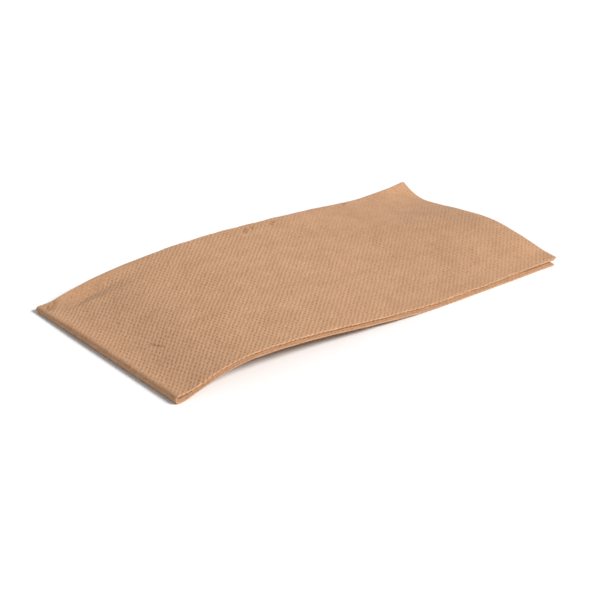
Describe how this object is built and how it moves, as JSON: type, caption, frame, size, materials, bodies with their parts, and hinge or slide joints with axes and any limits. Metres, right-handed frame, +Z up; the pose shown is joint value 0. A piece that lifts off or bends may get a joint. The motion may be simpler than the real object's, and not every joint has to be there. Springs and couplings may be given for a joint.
{
  "type": "paper napkin",
  "caption": "Kraft-brown tissue napkin folded into a long flat rectangle, with a fine embossed grain, lying loosely with a soft wave",
  "frame": {"origin": "On the table, under the middle of the napkin's box", "axes": "+X along the long side, away from the cross fold; +Y to the side with the nested folds; +Z up"},
  "size_m": [0.2, 0.1, 0.0109],
  "materials": {
    "kraft_tissue": "matt, embossed, unbleached"
  },
  "bodies": {
    "root": {"napkin": "kraft_tissue"}
  },
  "joints": []
}
